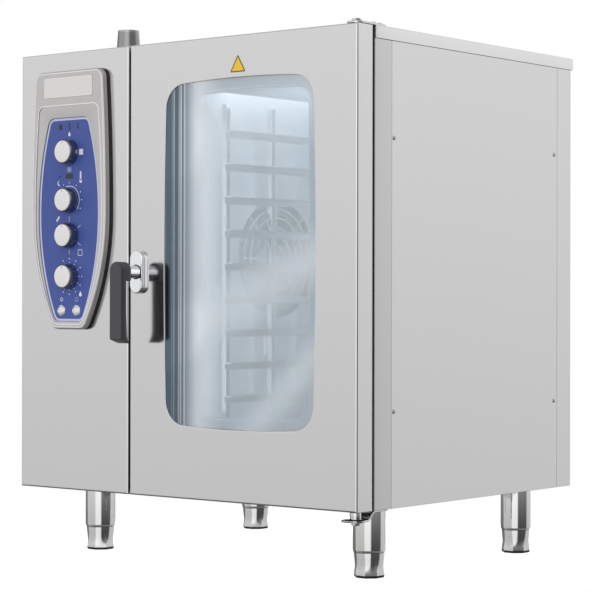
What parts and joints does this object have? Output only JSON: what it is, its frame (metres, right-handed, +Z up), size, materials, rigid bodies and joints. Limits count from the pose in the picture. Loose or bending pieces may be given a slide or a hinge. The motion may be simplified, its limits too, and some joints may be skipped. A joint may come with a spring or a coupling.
{
  "type": "combi steamer oven",
  "caption": "Free-standing electric combi steamer oven on legs, with a glazed side-hung door, a lever handle, a tray rack and a knob-operated control column.",
  "frame": {"origin": "on the floor, under the middle of the whole object's box", "axes": "+X to the right seen from the front, +Y to the back, +Z up; the door and the control panel face -Y"},
  "size_m": [0.907, 0.8694, 1.1239],
  "materials": {
    "sheet_steel": "satin brushed stainless steel",
    "polished_steel": "polished stainless steel",
    "dull_steel": "galvanised",
    "satin_silver": "silver lacquered moulding",
    "blue_film": "printed film, satin",
    "lever_black": "moulded, fine grain",
    "black_plastic": "moulded",
    "dark_lens": "polished",
    "pane": "clear",
    "lamp_glass": "frosted",
    "silicone": "moulded silicone",
    "mineral_wool": "felted",
    "motor_enamel": "cast and painted",
    "brass": "machined",
    "circuit_board": "solder mask"
  },
  "bodies": {
    "cabinet": {"base_frame": "dull_steel", "bottom_panel": "sheet_steel", "front_frame": "sheet_steel", "back_panel": "sheet_steel", "side_panel_left": "sheet_steel", "side_panel_right": "sheet_steel", "panel_screws": "polished_steel", "top_cover": "sheet_steel", "leg_tubes": "polished_steel", "control_fascia": "sheet_steel", "control_bezel": "satin_silver", "control_panel": "blue_film", "name_plate": "satin_silver", "display_window": "dark_lens", "indicator_lamps": "dark_lens", "selector_switches": "black_plastic", "cavity_liner": "sheet_steel", "insulation": "mineral_wool", "door_gasket": "silicone", "air_baffle": "sheet_steel", "fan_motor": "motor_enamel", "heater_rings": "dull_steel", "rack_left": "polished_steel", "rack_right": "polished_steel", "drain_strainer": "sheet_steel", "drain_pipe": "sheet_steel", "cavity_lamp": "lamp_glass", "vent_pipe": "sheet_steel", "steam_injector": "polished_steel", "water_inlets": "brass", "cable_gland": "black_plastic", "bonding_stud": "brass", "control_board": "circuit_board", "contactors": "black_plastic", "hinge_bracket_lower": "polished_steel", "hinge_bracket_upper": "polished_steel", "hinge_pins": "polished_steel", "latch_striker": "polished_steel"},
    "door": {"door_outer_panel": "sheet_steel", "door_inner_frame": "sheet_steel", "outer_glass": "pane", "inner_glass": "pane", "glass_gasket": "silicone", "handle_escutcheon": "polished_steel", "hinge_bushes": "brass"},
    "handle": {"handle_lever": "lever_black", "handle_spindle": "polished_steel", "latch_cam": "polished_steel"},
    "fan": {"fan_wheel": "sheet_steel", "motor_shaft": "polished_steel"},
    "mode_knob": {"mode_knob": "satin_silver"},
    "temperature_knob": {"temperature_knob": "satin_silver"},
    "time_knob": {"time_knob": "satin_silver"},
    "humidity_knob": {"humidity_knob": "satin_silver"},
    "button_left": {"button_left": "polished_steel"},
    "button_right": {"button_right": "polished_steel"},
    "foot_front_left": {"foot_front_left": "polished_steel"},
    "foot_front_right": {"foot_front_right": "polished_steel"},
    "foot_rear_left": {"foot_rear_left": "polished_steel"},
    "foot_rear_right": {"foot_rear_right": "polished_steel"}
  },
  "joints": [
    {"name": "door_hinge", "type": "hinge", "parent": "cabinet", "child": "door", "pos_m": [0.4327, -0.34325, 0.60015], "axis": [0, 0, 1], "range_deg": [0, 125]},
    {"name": "handle_turn", "type": "hinge", "parent": "door", "child": "handle", "pos_m": [-0.105, -0.36325, 0.5954], "axis": [0, -1, 0], "range_deg": [0, 90]},
    {"name": "fan_spin", "type": "hinge", "parent": "cabinet", "child": "fan", "pos_m": [-0.097, -0.04325, 0.6264], "axis": [1, 0, 0], "continuous": true},
    {"name": "mode_turn", "type": "hinge", "parent": "cabinet", "child": "mode_knob", "pos_m": [-0.2935, -0.37625, 0.8469], "axis": [0, 1, 0], "range_deg": [0, 240]},
    {"name": "temperature_turn", "type": "hinge", "parent": "cabinet", "child": "temperature_knob", "pos_m": [-0.2935, -0.37625, 0.7464], "axis": [0, 1, 0], "range_deg": [0, 300]},
    {"name": "time_turn", "type": "hinge", "parent": "cabinet", "child": "time_knob", "pos_m": [-0.2935, -0.37625, 0.6729], "axis": [0, 1, 0], "range_deg": [0, 300]},
    {"name": "humidity_turn", "type": "hinge", "parent": "cabinet", "child": "humidity_knob", "pos_m": [-0.2935, -0.37625, 0.5874], "axis": [0, 1, 0], "range_deg": [0, 270]},
    {"name": "button_left_press", "type": "slide", "parent": "cabinet", "child": "button_left", "axis": [0, 1, 0], "range_m": [0, 0.003], "stiffness_N_per_m": 600},
    {"name": "button_right_press", "type": "slide", "parent": "cabinet", "child": "button_right", "axis": [0, 1, 0], "range_m": [0, 0.003], "stiffness_N_per_m": 600},
    {"name": "foot_front_left_screw", "type": "slide", "parent": "cabinet", "child": "foot_front_left", "axis": [0, 0, 1], "range_m": [-0.03, 0]},
    {"name": "foot_front_right_screw", "type": "slide", "parent": "cabinet", "child": "foot_front_right", "axis": [0, 0, 1], "range_m": [-0.03, 0]},
    {"name": "foot_rear_left_screw", "type": "slide", "parent": "cabinet", "child": "foot_rear_left", "axis": [0, 0, 1], "range_m": [-0.03, 0]},
    {"name": "foot_rear_right_screw", "type": "slide", "parent": "cabinet", "child": "foot_rear_right", "axis": [0, 0, 1], "range_m": [-0.03, 0]}
  ]
}
